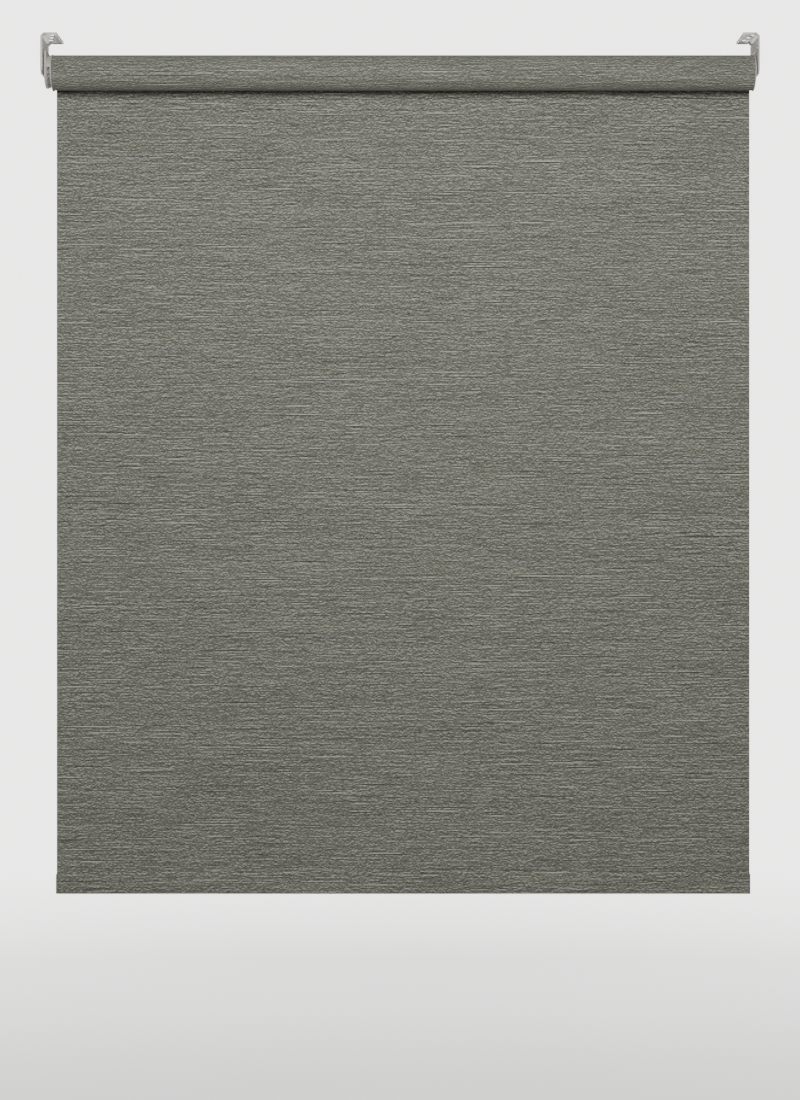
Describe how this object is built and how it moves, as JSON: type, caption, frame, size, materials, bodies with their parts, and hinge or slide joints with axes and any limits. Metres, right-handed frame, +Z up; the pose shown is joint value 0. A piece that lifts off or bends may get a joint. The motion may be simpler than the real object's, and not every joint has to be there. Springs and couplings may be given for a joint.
{
  "type": "roller blind",
  "caption": "Recess-fixed roller blind: two end brackets, a tube with cloth rolled off its back, a chain-wheel clutch, a sprung idle pin, and a cloth panel with a weighted hem bar.",
  "frame": {"origin": "on the left bracket's top face, at the centre of its middle fixing slot", "axes": "+X to the right as seen from the room, along the roller; +Y towards the window; +Z up"},
  "size_m": [0.8786, 0.056, 1.061],
  "materials": {
    "bracket_paint": "satin powder coat, pale warm grey",
    "control_plastic": "satin moulded, pale warm grey",
    "wheel_plastic": "satin moulded, warm grey",
    "plug_plastic": "satin moulded, pale warm grey",
    "steel": "zinc plated",
    "tube_metal": "mill finish",
    "bar_metal": "mill finish",
    "cloth": "slub weave, grey-green taupe",
    "tape": "adhesive strip",
    "cap_plastic": "satin, matched to the cloth"
  },
  "bodies": {
    "fixings": {"bracket_left": "bracket_paint", "bracket_right": "bracket_paint", "control_housing": "control_plastic", "chain_guard": "control_plastic", "control_core": "control_plastic", "core_washer": "steel", "core_screw": "steel", "idle_bush": "control_plastic", "fabric_panel": "cloth"},
    "roller": {"tube": "tube_metal", "drive_sleeve": "plug_plastic", "idle_plug": "plug_plastic", "idle_spring": "steel", "fabric_roll": "cloth", "fabric_tape": "tape"},
    "chain_drive": {"chain_wheel": "wheel_plastic", "wrap_spring_1": "steel", "wrap_spring_2": "steel", "wrap_spring_3": "steel"},
    "idle_plunger": {"idle_pin": "steel", "idle_pin_clip": "steel"},
    "hem": {"hem_pocket": "cloth", "bottom_bar": "bar_metal", "bar_cap_left": "cap_plastic", "bar_cap_right": "cap_plastic"}
  },
  "joints": [
    {"name": "roller_spin", "type": "hinge", "parent": "fixings", "child": "roller", "pos_m": [0, 0, -0.044], "axis": [1, 0, 0], "range_deg": [0, 2520]},
    {"name": "chain_wheel_spin", "type": "hinge", "parent": "fixings", "child": "chain_drive", "pos_m": [0, 0, -0.044], "axis": [1, 0, 0], "range_deg": [0, 2520]},
    {"name": "hem_travel", "type": "slide", "parent": "fixings", "child": "hem", "axis": [0, 0, 1], "range_m": [0, 0.96322], "deforming": ["fabric_panel"]},
    {"name": "idle_pin_slide", "type": "slide", "parent": "roller", "child": "idle_plunger", "axis": [-1, 0, 0], "range_m": [0, 0.005], "stiffness_N_per_m": 600, "springref_m": -0.004, "deforming": ["idle_spring"]}
  ],
  "couplings": [
    {"joint": "chain_wheel_spin", "follows": "roller_spin", "ratio": 1},
    {"joint": "hem_travel", "follows": "roller_spin", "m_per_rad": 0.0219}
  ]
}
